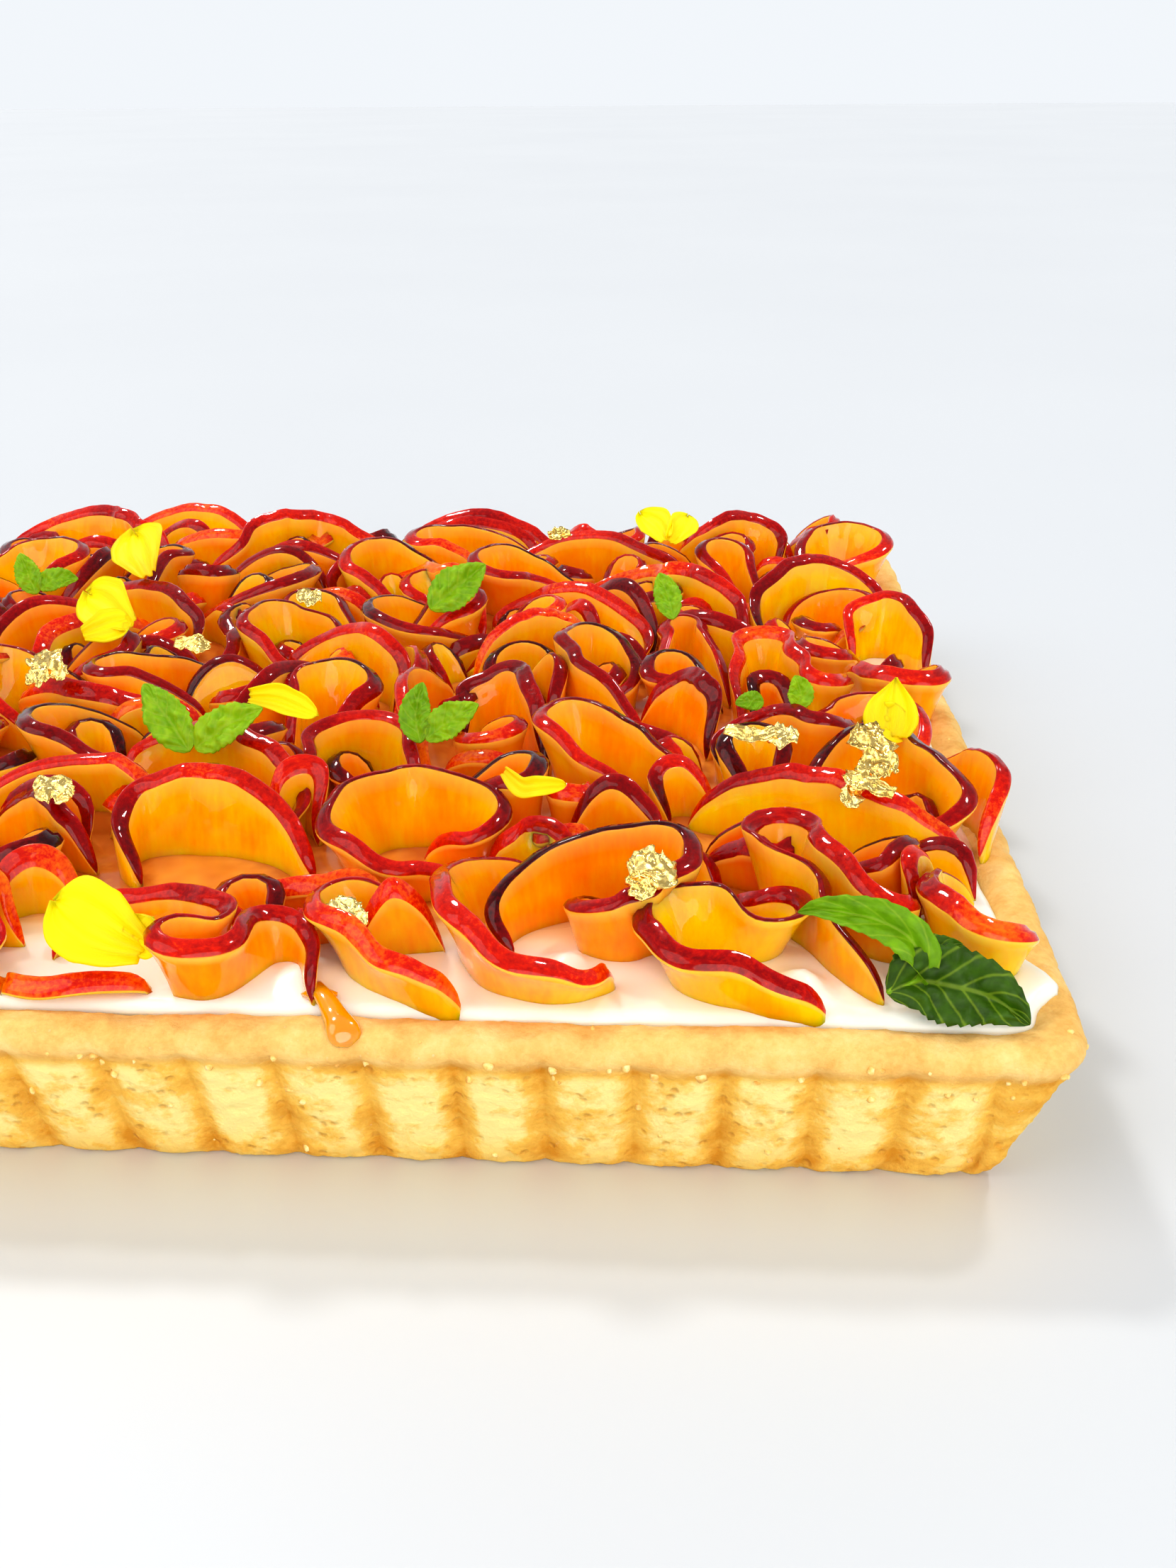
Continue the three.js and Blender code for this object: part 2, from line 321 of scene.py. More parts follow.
rings = smooth_rings(crust_rings, ring_spacing)
stations = outline_stations(steps_per_flute, corner_steps)
crust_points, crust_wall, groove_and_corner_shade, crust_rise = [], [], [], []
across = stations[:, 3]
for inset, height, groove in rings:
    xs, ys = lay_square(stations, inset, groove)
    on_wall = max(0.0, min(1.0, (wall_top - height) / 2.5)) if inset < 11.0 and groove > 0.3 else 0.0
    on_rim = max(0.0, min(1.0, (height - rim_foot) / 3.0))
    for x, y, groove_share, turned in zip(xs, ys, across, stations[:, 2] > 0.0):
        point = (x, y, height)
        swell = (0.5 * rough(point, 9.0, 3.0) + 0.6 * rough(point, 17.0, 4.0)) * on_rim
        swell += 0.22 * rough(point, 3.2, 5.0)
        grit = 0.2 * rough((x, y, 0.5 * height), 1.3, 1.0) + 0.14 * rough(point, 0.7, 2.0)
        pit = max(0.0, rough((x, y, 0.6 * height), 2.0, 6.0) - 0.3) * 1.1 * on_wall
        push = swell + grit * (1.7 if on_wall else 0.9) - pit
        out = 1 + push * (1 - 0.6 * on_rim) / half_side
        lift = 1.2 * push * on_rim
        crust_points.append((x * out, y * out, height + lift if height > 0.1 else height))
        crust_wall.append(on_wall)
        # Painted shade: the grooves, and the corners all round, are marked to be painted browner.
        groove_and_corner_shade.append(max(0.7 * turned, 1 - groove_share / 0.28, 0.0) * groove)
        crust_rise.append(height / crust_height)
crust_points += [(0, 0, 0), (0, 0, 5)]
crust_wall += [0, 0]
groove_and_corner_shade += [0, 0]
crust_rise += [0, 0]

crust_material, shade, shader = new_material(
    "shortbread", Roughness=0.8, Subsurface_Weight=0.12, Subsurface_Scale=0.002, Specular_IOR_Level=0.25
)
place = shade.node("TexCoord", output="Object")
wall = shade.attribute("wall")
# Painted shade: this groove mark darkens the grooves and the corners of the wall.
groove = shade.attribute("groove")
rise = shade.attribute("rise")
mottle = shade.grain(place, 160.0, 4.0)
fine = shade.grain(place, 900.0, 5.0, 0.7)
pore_cells = shade.node("TexVoronoi", None, {"Vector": place, "Scale": 420.0}, output="Distance")
pores = (1 - pore_cells.between(0.08, 0.34)) * mottle.between(0.42, 0.6) * wall
# The wall's tone: its own mottle and grain, plus painted shade in the grooves and corners.
tone_and_painted_shade = (groove * 0.66 + mottle.between(0.38, 0.7) * 0.5 - 0.14 + (fine - 0.5) * 0.75).clamped()
foot = 1 - rise.between(0.02, 0.3)
# Painted shade: a browner band on the wall just under the rim's overhang.
under_rim_shade = rise.between(0.72, 0.86) * (1 - rise.between(0.9, 1.0))
wall_colour = (tone_and_painted_shade + foot * 0.3 + under_rim_shade * 0.62).clamped().ramp(
    (0.0, (1.0, 0.83, 0.33)), (0.4, (0.95, 0.57, 0.10)), (1.0, (0.74, 0.32, 0.02))
)
rim_colour = (mottle * 0.9 + fine * 0.5 - 0.15).ramp(
    (0.3, (0.97, 0.70, 0.29)), (0.55, (0.90, 0.57, 0.18)), (0.8, (0.76, 0.40, 0.09))
)
crust_colour = wall.mix(rim_colour, wall_colour)
crust_colour = (fine.between(0.62, 0.78) * 0.45).mix(crust_colour, (1.0, 0.87, 0.55))
crust_colour = (pores * 0.55).mix(crust_colour, (0.80, 0.38, 0.05))
height_map = fine * 0.5 + mottle * 0.5 - pores * 0.45
bumps = shade.node("Bump", None, {"Strength": 0.9, "Distance": 0.0009, "Height": height_map})
feed(shader, Base_Color=crust_colour, Normal=bumps, Roughness=0.72 + mottle * 0.2)

crust = new_piece(
    "shortbread_crust", crust_points, ring_faces(len(rings), len(stations)), crust_material,
    {"wall": crust_wall, "groove": groove_and_corner_shade, "rise": crust_rise},
)
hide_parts("crust")

# ---------------------------------------------------------------------------
# Crumbs. Shortbread crumbles where it leaves the tin, so crumbs and small
# flakes cling to the wall, most of all along the edge under the rim.
# ---------------------------------------------------------------------------

crumb_count = 420
lip_height = 22.5
crumb_bands, crumb_steps = 5, 7
crumb_draw = random.Random(27)


def crumb(centre, radius, seed):
    """A lumpy grain of baked dough."""
    stretch = [crumb_draw.uniform(0.7, 1.3) for _ in range(3)]
    vertices = []
    for band in range(crumb_bands):
        polar = math.pi * (band + 0.5) / crumb_bands
        for step in range(crumb_steps):
            turn = 2 * math.pi * step / crumb_steps
            way = (math.sin(polar) * math.cos(turn), math.sin(polar) * math.sin(turn), math.cos(polar))
            size = radius * (1 + 0.5 * rough(way, 0.8, seed))
            vertices.append([place + size * share * part for place, share, part in zip(centre, stretch, way)])
    faces = []
    for band in range(crumb_bands - 1):
        for step in range(crumb_steps):
            after = (step + 1) % crumb_steps
            high, low = band * crumb_steps, (band + 1) * crumb_steps
            faces.append((high + step, low + step, low + after, high + after))
    faces.append(tuple(range(crumb_steps)))
    faces.append(tuple(range(len(vertices) - 1, len(vertices) - crumb_steps - 1, -1)))
    return {"vertices": np.array(vertices), "faces": faces}


def joined(name, parts, material, labels=()):
    """Many small meshes as one piece, with their attributes."""
    faces = []
    first = 0
    for marks in parts:
        faces += [tuple(first + corner for corner in face) for face in marks["faces"]]
        first += len(marks["vertices"])
    vertices = np.concatenate([marks["vertices"] for marks in parts])
    values = {label: np.concatenate([marks[label] for marks in parts]) for label in labels}
    return new_piece(name, vertices, faces, material, values)


crumb_material, shade, shader = new_material(
    "shortbread_crumb", Roughness=0.85, Subsurface_Weight=0.1, Subsurface_Scale=0.001, Specular_IOR_Level=0.2
)
crumb_cloud = shade.grain(shade.node("TexCoord", output="Object"), 700.0)
crumb_colour = crumb_cloud.ramp(
    (0.35, (0.78, 0.42, 0.10)), (0.5, (0.96, 0.66, 0.22)), (0.65, (1.0, 0.82, 0.42))
)
feed(shader, Base_Color=crumb_colour)
crumbs = []
while len(crumbs) < crumb_count:
    index = crumb_draw.randrange(len(crust_points) - 2)
    height = crust_points[index][2]
    near_lip = math.exp(-(((height - lip_height) / 2.0) ** 2))
    wanted = near_lip + 0.12 * crust_wall[index] + (0.04 if 26.5 < height else 0.0)
    if height > 1.5 and crumb_draw.random() < wanted:
        radius = crumb_draw.uniform(0.2, 0.55) * (1 + 0.4 * near_lip)
        crumbs.append(crumb(crust_points[index], radius, crumb_draw.uniform(0, 50)))
joined("crumbs", crumbs, crumb_material)

# ---------------------------------------------------------------------------
# Peach slices. Half-moons cut about 2.8 mm thick with the skin left on, curled
# and pushed into the cream on their cut edge, so the skin is a band on top.
# They spread like petals, lean a little and rest on each other.
# ---------------------------------------------------------------------------

# Slices laid one by one, in the order of their nodes: how high they stand over the cream,
# how dark the skin and how ripe the flesh is from 0 to 1, how far they lean to the front,
# or with a minus to the back, how far they spread at the top, and the way from tip to tip.
laid_slices = [
    (11, 0.62, 0.5, 0.5, 4, [(-29, -97), (-24, -91), (-12, -92), (-4, -98), (-9, -105), (-2, -105),
                             (3, -97), (8, -99), (11, -107)]),
    (12, 0.36, 0.3, 0.5, 6, [(25, -88), (18, -89), (13, -91), (13, -97), (21, -105), (31, -108)]),
    (13, 0.42, 0.35, 0.5, 8, [(41, -74), (33, -79), (29, -88), (31, -98), (38, -105), (46, -105),
                              (52, -101)]),
    (15, 0.8, 0.55, 0.5, 3, [(37, -96), (35, -90), (40, -84), (50, -81), (59, -82), (60, -89), (53, -94),
                             (47, -92), (48, -87), (53, -87)]),
    (12, 0.6, 0.12, 0.5, 6, [(66, -82), (71, -86), (75, -90), (72, -94), (64, -93), (59, -96), (62, -103),
                             (71, -106), (80, -107)]),
    (15, 0.6, 0.35, -0.5, 2.5, [(88, -104), (83, -97), (79, -88), (74, -81), (74, -76), (78, -77), (82, -84),
                                (87, -91), (92, -92), (92, -87), (87, -83)]),
    (13, 0.42, 0.1, -0.5, 4, [(104, -78), (99, -82), (97, -90), (101, -97), (106, -97), (108, -91)]),
    (15, 0.55, 0.15, -2.5, 3, [(62, -52), (70, -54), (80, -58), (92, -64), (106, -67)]),
    (12, 0.4, 0.3, -1.5, 5, [(109, -61), (111, -51), (108, -41), (103, -35)]),
    (14, 0.66, 0.4, 0.5, 4, [(88, -54), (84, -49), (87, -42), (94, -39), (100, -46), (104, -55), (100, -60),
                             (94, -57)]),
    (14, 0.5, 0.25, -2.5, 1, [(-23, -76), (-27, -70), (-25, -64), (-13, -63), (-3, -67), (4, -74)]),
    (14, 0.6, 0.4, 0.5, 6, [(28, -76), (17, -78), (9, -72), (10, -63), (18, -58), (28, -60), (29, -66),
                            (20, -66)]),
    (14, 0.92, 0.5, 0.5, 5, [(-31, -41), (-40, -44), (-49, -41), (-51, -35), (-46, -29), (-37, -24)]),
    (14, 0.8, 0.6, -0.5, 3, [(20, -18), (22, -12), (28, -11), (33, -20), (37, -32)]),
    (15, 0.5, 0.35, -0.5, 5, [(64, -42), (53, -35), (43, -31), (39, -36), (44, -43), (53, -46)]),
    (15, 0.75, 0.4, -0.5, 3, [(47, -3), (51, 2), (48, 10), (42, 13), (38, 5), (41, -5), (48, -12),
                              (54, -18)]),
    (13, 0.97, 0.7, -0.5, 4, [(53, -8), (60, -9), (65, -16), (66, -24)]),
    (14, 0.8, 0.55, 0.5, 2, [(69, -36), (68, -31), (76, -29), (85, -33), (91, -29), (91, -22)]),
    (15, 0.4, 0.3, -0.5, 4, [(72, -18), (72, -4), (74, 7), (79, 8), (83, -2), (87, -9), (91, -3), (89, 6)]),
    (13, 0.5, 0.3, 0.5, 4, [(96, 12), (96, 3), (100, -4), (107, -5), (109, 2), (105, 9)]),
    (14, 0.5, 0.2, -0.5, 3, [(96, 24), (98, 31), (105, 33), (110, 25), (111, 17)]),
    (15, 0.7, 0.1, -0.5, 3, [(80, 33), (77, 40), (82, 49), (92, 56), (102, 55), (107, 48)]),
    (15, 0.7, 0.3, -0.5, 3, [(59, 95), (67, 93), (78, 96), (84, 94), (85, 87)]),
    (16, 0.5, 0.3, 0.5, 4, [(-55, 76), (-48, 79), (-41, 86), (-28, 90), (-17, 88), (-10, 84)]),
    (14, 0.6, 0.35, 0.5, 5, [(-11, 1), (-20, 6), (-27, 15), (-24, 24), (-14, 24), (-5, 16)]),
    (15, 0.25, 0.35, -0.5, 2, [(18, 10), (26, 16), (36, 20), (46, 20)]),
    (12, 0.9, 0.5, 0.5, 2, [(-52, -62), (-44, -64), (-36, -69), (-31, -72)]),
    (10, 0.98, 0.6, 1.5, 3, [(-60, 19), (-50, 14), (-38, 15)]),
]

# How the other slices bend from one tip to the other: shares of their length, each with the
# angle in degrees that it turns through. Plus turns left, seen from above.
curls = {
    "bow": [(1, -75)],
    "arch": [(0.22, -75), (0.56, -40), (0.22, -75)],
    "cup": [(0.3, -15), (0.4, -150), (0.3, -15)],
    "ring": [(1, -260)],
    "spiral": [(0.34, -70), (0.32, -130), (0.34, -210)],
    "teardrop": [(0.28, -8), (0.44, -198), (0.28, -8)],
    "hairpin": [(0.4, -8), (0.14, -160), (0.46, 12)],
    "hook": [(0.36, 0), (0.14, -145), (0.5, -15)],
}

# The other large slices, also in the order of their nodes: the curl, the heading in degrees
# at its first tip, its length, how dark the skin and how ripe the flesh is.
free_slices = [
    ("spiral", 150, 62, 0.5, 0.4), ("cup", 60, 60, 0.6, 0.3), ("arch", 40, 42, 0.4, 0.5),
    ("teardrop", 30, 46, 0.6, 0.4), ("arch", 60, 44, 0.7, 0.5), ("cup", 70, 52, 0.5, 0.4),
    ("ring", 10, 50, 0.7, 0.4), ("arch", 60, 50, 0.45, 0.3), ("cup", 100, 48, 0.6, 0.4),
    ("arch", 50, 54, 0.6, 0.3), ("cup", 165, 54, 0.5, 0.4), ("hook", 180, 50, 0.8, 0.5),
    ("teardrop", 100, 50, 0.6, 0.3),
    ("ring", 140, 50, 0.5, 0.3), ("arch", 60, 52, 0.7, 0.5), ("ring", 250, 50, 0.8, 0.5),
    ("arch", 60, 48, 0.5, 0.4), ("hook", 80, 46, 0.5, 0.4),
    ("cup", 60, 60, 0.5, 0.2), ("hairpin", 70, 50, 0.7, 0.5), ("ring", 30, 52, 0.8, 0.5),
    ("cup", 150, 56, 0.5, 0.3), ("teardrop", 200, 56, 0.7, 0.5), ("arch", 60, 52, 0.4, 0.3),
    ("arch", 70, 60, 0.5, 0.3), ("hook", 160, 54, 0.5, 0.4), ("arch", 75, 50, 0.6, 0.4),
    ("spiral", 120, 52, 0.5, 0.3), ("bow", 30, 46, 0.6, 0.3), ("bow", 25, 46, 0.5, 0.2),
]

# Small slices that are tucked in between them, listed one by one, in the same terms as the first ones.
tucked_slices = [
    (12, 0.5, 0.3, 2, 1, [(14, -95), (20, -93.5), (27, -92)]),
    (8, 0.35, 0.5, 5, 1, [(-4, -83), (8, -81), (24, -83)]),
    (9, 0.5, 0.5, 4, 1, [(33, -66), (40, -66), (51, -70)]),
    (13, 0.8, 0.5, 1, 1, [(42, -60), (50, -59), (59, -63)]),
    (5, 0.3, 0.4, 4, 1, [(-37, -103), (-25, -105), (-12, -103)]),
    (12, 0.35, 0.3, 0, 2, [(99, -76), (94.5, -80), (94, -87)]),
    (10, 0.4, 0.3, 1, 2, [(67, -47), (61, -46), (57, -48), (59, -51)]),
    (8, 0.35, 0.5, 3, 1, [(18, -34), (26, -36), (34, -38)]),
    (13, 0.7, 0.5, 0, 2, [(30, 4), (37, -3), (36, -14)]),
    (12, 0.5, 0.3, 1, 2, [(-8, -58), (-1, -54), (2, -60)]),
    (11, 0.45, 0.2, 1, 2, [(-42, -88), (-36, -83), (-28, -84)]),
    (11, 0.4, 0.2, 0, 2, [(-46, -95), (-41, -92), (-34, -94)]),
    (8, 0.5, 0.4, 3, 3, [(-60, -103), (-50, -105), (-41, -100)]),
]

slice_thickness = 2.8
height_to_length = 0.26
tip_height = 2.6
tip_round = 3.0
sunk = 3.0
cream_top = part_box("cream")[1].z / MM

# A slice leans about its line, which stays where it was laid a little below half its height.
pivot = 0.35

# The most that a slice leans from foot to top, for each millimetre of its height, and how
# often neighbours push each other.
steepest_lean = 0.75
push_rounds = 10
laid_steps, free_steps, tucked_steps = 88, 72, 30
draw = random.Random(58)


def even_steps(way, count):
    """A smooth line through the points of a way, with its points at even distances."""
    knots = np.array([way[0], *way, way[-1]], float)
    t = np.linspace(0, 1, 24, endpoint=False)[:, None]
    parts = []
    for a, b, c, d in zip(knots, knots[1:], knots[2:], knots[3:]):
        slope_b, slope_c = 0.5 * (c - a), 0.5 * (d - b)
        bend = (2 * b - 2 * c + slope_b + slope_c) * t**3 + (3 * c - 3 * b - 2 * slope_b - slope_c) * t**2
        parts.append(bend + slope_b * t + b)
    line = np.concatenate([*parts, knots[-1:]])
    length = np.concatenate([[0.0], np.cumsum(np.linalg.norm(np.diff(line, axis=0), axis=1))])
    places = np.linspace(0.0, length[-1], count)
    return np.stack([np.interp(places, length, line[:, axis]) for axis in range(line.shape[1])], axis=1)


def curl_line(curl, heading, length, hand, count):
    """The line of a curl from its bends, with its mean point at the origin."""
    fine = 8
    share = (np.arange((count - 1) * fine) + 0.5) / ((count - 1) * fine)
    rate = np.zeros(len(share))
    start = 0.0
    for part, degrees in curls[curl]:
        rate[(share >= start) & (share < start + part)] = math.radians(degrees) / part * hand
        start += part
    turned = math.radians(heading) + np.cumsum(rate) / len(rate)
    step = length / len(rate)
    line = np.cumsum(np.stack([np.cos(turned), np.sin(turned)], axis=1) * step, axis=0)
    line = np.concatenate([[[0.0, 0.0]], line])[::fine]
    return line - line.mean(axis=0)


def smoothed(values, reach):
    """A running mean of values along a slice, with the ends held."""
    if reach < 1:
        return values
    weights = np.hanning(2 * reach + 3)[1:-1]
    weights = weights / weights.sum()
    padded = np.pad(values, ((reach, reach),) + ((0, 0),) * (values.ndim - 1), "edge")
    columns = padded.reshape(len(padded), -1).T
    means = [np.convolve(column, weights, "valid") for column in columns]
    return np.stack(means, axis=1).reshape(values.shape)


class Slice:
    """One slice as it stands: its line, the way out at every point, its height and its lean."""

    def __init__(self, points, rise, darkness, ripeness, front, spread):
        self.points = points
        count = len(points)
        steps = np.gradient(points, axis=0)
        self.step = np.linalg.norm(steps, axis=1).mean()
        self.length = self.step * (count - 1)
        angle = np.unwrap(np.arctan2(steps[:, 1], steps[:, 0]))
        self.normal = np.stack([-np.sin(angle), np.cos(angle)], axis=1)
        bend = smoothed(np.gradient(angle) / self.step, int(3.0 / self.step))
        self.share = np.linspace(0.0, 1.0, count)
        self.moon = np.sin(np.pi * self.share.clip(0.004, 0.996)) ** 0.75
        wobble = 1 + 0.05 * np.sin(6.0 * self.share + draw.uniform(0, 6))
        from_tip = np.minimum(self.share, 1 - self.share) * self.length
        self.tip = np.sqrt(1 - (1 - (from_tip / tip_round).clip(0.0, 1.0)) ** 2)
        self.height = (tip_height + (rise - tip_height) * self.moon) * wobble * (0.3 + 0.7 * self.tip) + sunk
        self.darkness = darkness
        self.ripeness = ripeness
        to_front = -self.normal[:, 1].mean()
        outside = -1.0 if angle[-1] > angle[0] else 1.0
        self.skin_side = math.copysign(1.0, to_front) if abs(to_front) > 0.35 else outside
        # Painted light and shade: how much the skin faces the front, which paints it lighter there and darker
        # where it faces away.
        self.facing_light_and_shade = smoothed(-self.normal[:, 1] * self.skin_side, int(2.0 / self.step))
        open_bend = 0.6 + 0.4 * self.moon
        lean = self.normal * (-np.tanh(bend * 10.0) * spread * open_bend)[:, None]
        lean[:, 1] -= front * open_bend
        self.lean = smoothed(lean, int(2.5 / self.step))

    def at(self, up):
        """The line at a share of the height, with its heights."""
        flat = self.points + self.lean * (up**1.3 - pivot)
        return flat, cream_top - sunk + self.height * up


def spread_apart(slices, rounds):
    """Slices that touch push each other's tops aside, so that no skin runs through another."""
    levels = (0.55, 0.8, 1.0)
    room = slice_thickness + 0.3
    for _ in range(rounds):
        places, owners = [], []
        for number, one in enumerate(slices):
            stride = max(1, int(1.6 / one.step))
            for up in levels:
                flat, height = one.at(up)
                for station in range(0, len(flat), stride):
                    places.append((flat[station, 0], flat[station, 1], height[station]))
                    owners.append((number, station, up))
        tree = KDTree(len(places))
        for index, spot in enumerate(places):
            tree.insert(spot, index)
        tree.balance()
        pushes = [np.zeros_like(one.lean) for one in slices]
        for spot, (number, station, up) in zip(places, owners):
            one = slices[number]
            for other_spot, index, distance in tree.find_range(spot, room):
                other, other_station, _ = owners[index]
                if other == number and abs(other_station - station) * one.step < 9.0:
                    continue
                away = np.array([spot[0] - other_spot[0], spot[1] - other_spot[1]])
                size = np.hypot(*away)
                if size < 0.05:
                    continue
                push = away / size * (room - distance) * 0.35 * up
                if np.hypot(*push) > np.hypot(*pushes[number][station]):
                    pushes[number][station] = push
        for one, push in zip(slices, pushes):
            spread_push = smoothed(push, max(1, int(3.0 / one.step))) * 1.6
            one.lean = one.lean + spread_push
            size = np.linalg.norm(one.lean, axis=1)
            most = steepest_lean * one.height
            one.lean *= np.minimum(1.0, most / np.maximum(size, 1e-6))[:, None]


def slice_mesh(one, number):
    """The skin and the two faces of a slice, with what its material needs at every point."""
    thick = 0.5 * slice_thickness * (0.92 + 0.2 * draw.random())
    thick = thick * (0.45 + 0.55 * one.moon**0.5) * (0.2 + 0.8 * one.tip)
    bevel = draw.uniform(0.3, 0.8) * one.skin_side
    ripple = 0.3 * np.sin(one.share * one.length * 0.35 + draw.uniform(0, 6))
    wave = np.array([rough((number * 9.1, step * 0.12, 0.0), 1.0) for step in range(len(one.share))])
    along = one.share * one.length
    left_drop = max(0.0, bevel) * 2 * thick
    right_drop = max(0.0, -bevel) * 2 * thick
    # Once round: from the cut edge up the right face, over the skin and down the left face.
    # Across, share of the height, which drop it follows, lift in millimetres, and skin.
    section = [(-0.7, 0.0, 0, 0, 0), (-0.8, 0.2, 0, 0, 0), (-0.88, 0.4, 0, 0, 0), (-0.94, 0.6, 0.2, 0, 0),
               (-0.98, 0.8, 0.6, 0, 0), (-1.0, 1.0, 1, -0.55, 0), (-1.0, 1.0, 1, -0.2, 0)]
    left = [(-across, up, -drop, lift, skin) for across, up, drop, lift, skin in reversed(section)]
    skin_points = [(-0.97, 1.0, 1, -0.08, 1), (-0.85, 1.0, 0.9, 0.05, 1), (-0.5, 1.0, 0.55, 0.2, 1)]
    skin_left = [(-across, up, -drop, lift, skin) for across, up, drop, lift, skin in reversed(skin_points)]
    section = section + skin_points + [(0.0, 1.0, 0, 0.25, 1)] + skin_left + left
    vertices, grain = [], []
    size = np.linalg.norm(one.lean, axis=1)
    tilt = np.sqrt(np.maximum(0.3, 1 - (size / one.height) ** 2))
    for across, up, drop, lift, skin in section:
        centre = one.points + one.lean * (up**1.3 - pivot)
        centre = centre + one.normal * ((ripple + 0.5 * wave) * up * (1.15 - up) * 2)[:, None]
        flat = centre + one.normal * (across * thick)[:, None]
        lowered = max(drop, 0) * right_drop + max(-drop, 0) * left_drop
        if drop == 0 and up == 1.0:
            lowered = 0.5 * (right_drop + left_drop)
        if skin:
            lift = lift + 0.14 * np.array([rough((step, across * 1.2, number), 1.7) for step in along])
        rise = one.height * up - lowered + lift + 0.4 * wave * up
        height = cream_top - sunk + rise * (1 - (1 - tilt) * up)
        vertices.append(np.column_stack([flat, height]))
        grain.append(np.column_stack([along, one.height * up - lowered, across * thick]))
    loop = len(section)
    count = len(one.share)
    vertices = np.stack(vertices, axis=1).reshape(-1, 3)
    grain = np.stack(grain, axis=1).reshape(-1, 3) + np.array([0.0, 0.0, 40.0 * number])
    faces = []
    for station in range(count - 1):
        for step in range(loop):
            after = (step + 1) % loop
            low_row, high_row = station * loop, (station + 1) * loop
            faces.append((low_row + step, high_row + step, high_row + after, low_row + after))
    faces.append(tuple(range(loop)))
    faces.append(tuple(range(count * loop - 1, (count - 1) * loop - 1, -1)))
    edge = [1.0 if row[4] == 0 and row[1] == 1.0 else 0.0 for row in section]
    return {
        "vertices": vertices, "faces": faces, "grain": grain,
        "skin": np.tile([float(row[4]) for row in section], count),
        "level": np.tile([row[1] for row in section], count), "edge": np.tile(edge, count),
        # Skins facing the front are painted lighter and those facing away darker, as painted light and shade,
        # on top of their own darkness.
        "dark": np.repeat(one.darkness + 0.1 - 0.3 * one.facing_light_and_shade, loop),
        "ripe": np.full(len(vertices), one.ripeness),
    }


slice_marks = ("grain", "skin", "level", "edge", "dark", "ripe")
large_slices = []
for rise, darkness, ripeness, front, spread, way in laid_slices:
    large_slices.append(Slice(even_steps(way, laid_steps), rise, darkness, ripeness, front, spread))
for index, (curl, heading, length, darkness, ripeness) in enumerate(free_slices):
    line = curl_line(curl, heading, length, 1, free_steps)
    low, high = (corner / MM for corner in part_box(f"peach_slice_{len(laid_slices) + index + 1:02d}"))
    middle = np.array([low.x + high.x, low.y + high.y]) / 2
    line = line + middle - (line.min(axis=0) + line.max(axis=0)) / 2
    front, spread = draw.uniform(-2.0, 2.0), draw.uniform(3.0, 6.0)
    large_slices.append(Slice(line, height_to_length * length, darkness, ripeness, front, spread))

small_slices = []
for rise, darkness, ripeness, front, spread, way in tucked_slices:
    small_slices.append(Slice(even_steps(way, tucked_steps), rise, darkness, ripeness, front, spread))

# More small slices and offcuts go wherever they fit, until hardly any cream shows but at
# the front edge and in the open curls along it: the place and the radius of each opening.
front_limit, side_limit = -97.0, 105.0
openings = np.array([
    (-10, -76, 11), (18, -67, 9), (43, -89, 8), (72, -99, 7), (94, -48, 6), (47, -41, 5), (80, -88, 5),
])
clearance = 2.2
taken = np.concatenate([one.points for one in large_slices + small_slices])
for longest, wanted, tries in ((46, 30, 2000), (34, 50, 3500), (23, 80, 5000), (15, 80, 4000)):
    found = 0
    for _ in range(tries):
        if found == wanted:
            break
        curl = draw.choice(("bow", "arch", "cup", "teardrop", "ring", "bow"))
        length, hand = longest * draw.uniform(0.75, 1.0), draw.choice((1, -1))
        heading = draw.uniform(0, 360)
        place = np.array([draw.uniform(-side_limit, side_limit), draw.uniform(front_limit, side_limit)])
        line = curl_line(curl, heading, length, hand, max(10, int(length * 0.8))) + place
        if np.abs(line).max() > side_limit or line[:, 1].min() < front_limit:
            continue
        from_open = np.linalg.norm(line[:, None, :] - openings[None, :, :2], axis=2) - openings[:, 2]
        gaps = np.linalg.norm(line[:, None, :] - taken[None, :, :], axis=2)
        if gaps.min() < clearance or from_open.min() < 0.0:
            continue
        rise = draw.uniform(0.75, 1.0) * min(14.0, 7.0 + 0.2 * length)
        darkness, ripeness = draw.uniform(0.25, 1.0), draw.uniform(0.1, 0.8)
        front, spread = draw.uniform(-2, 3), draw.uniform(2, 5)
        small_slices.append(Slice(line, rise, darkness, ripeness, front, spread))
        taken = np.concatenate([taken, line])
        found += 1

spread_apart(large_slices + small_slices, push_rounds)

peach_material, shade, shader = new_material(
    "glazed_peach",
    Roughness=0.22, Subsurface_Weight=0.8, Subsurface_Scale=0.006, Subsurface_Radius=(1.0, 0.45, 0.03),
    Coat_Weight=1.0, Coat_Roughness=0.025, Coat_IOR=1.33, IOR=1.3, Specular_IOR_Level=0.05,
)
grain = shade.attribute("grain", "Vector")
skin = shade.attribute("skin")
dark = shade.attribute("dark")
ripe = shade.attribute("ripe")
level = shade.attribute("level")
edge = shade.attribute("edge")
cloud = shade.grain(grain, 0.085, 2.0)
patch = shade.grain(grain, 0.05, 1.0)
fibres = shade.grain(shade.node("Mapping", None, {"Vector": grain, "Scale": (1.3, 0.3, 1.0)}), 0.7, 3.0)
speckle = shade.grain(grain, 1.3, 5.0, 0.65)
flesh_colour = (ripe * 0.6 + cloud * 0.8 + fibres * 0.3 - 0.45 - level * 0.1).clamped().ramp(
    (0.0, (1.0, 0.6, 0.0)), (0.3, (1.0, 0.37, 0.0)), (0.6, (1.0, 0.19, 0.0)), (0.8, (0.9, 0.09, 0.0)),
    (1.0, (0.6, 0.03, 0.0)),
)
flesh_colour = (edge * 0.5).mix(flesh_colour, (1.0, 0.55, 0.12))
